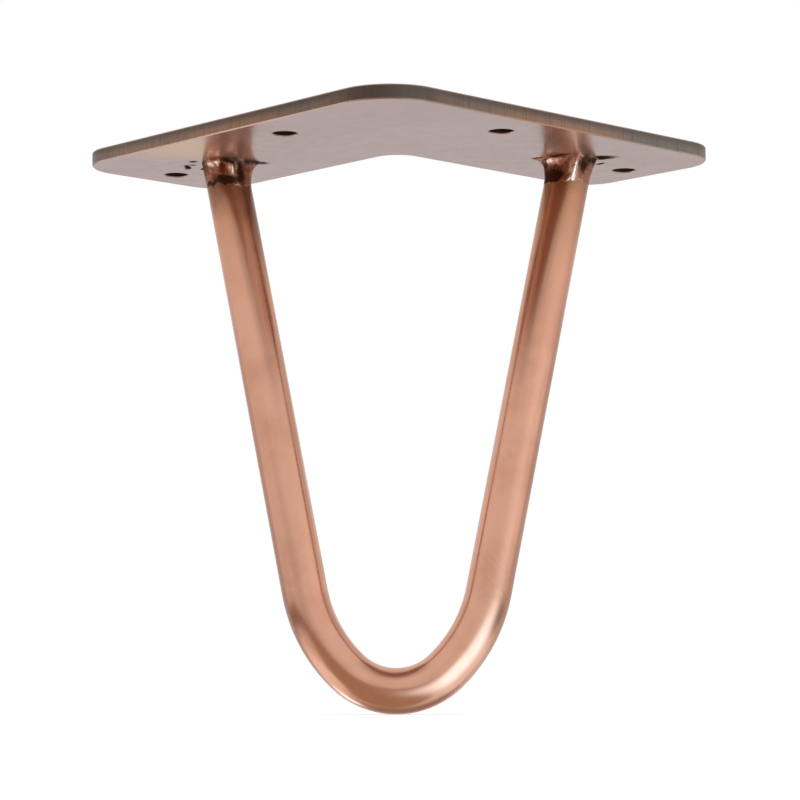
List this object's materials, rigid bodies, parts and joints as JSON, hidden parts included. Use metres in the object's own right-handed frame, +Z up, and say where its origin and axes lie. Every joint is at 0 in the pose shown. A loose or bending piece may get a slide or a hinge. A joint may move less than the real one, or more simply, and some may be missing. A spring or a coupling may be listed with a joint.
{
  "type": "hairpin table leg",
  "caption": "Short furniture leg: a round bar bent into a tapering hairpin, welded by both ends to a flat right-angled corner plate with screw holes.",
  "frame": {"origin": "on the plate's top face, on the plane of symmetry, where the middles of the plate's two arms cross", "axes": "+Z up, out of the plate's top face towards the table top; -Y towards the plate's outer corner; X across, square to the plane of symmetry"},
  "size_m": [0.1688, 0.1162, 0.154],
  "materials": {
    "copper_plate": "satin, pale copper plating on steel",
    "copper_rod": "satin, copper plating on steel",
    "copper_weld": "rough weld under copper plating, darkened"
  },
  "bodies": {
    "root": {"mounting_plate": "copper_plate", "hairpin_rod": "copper_rod", "left_weld_bead": "copper_weld", "right_weld_bead": "copper_weld"}
  },
  "joints": []
}
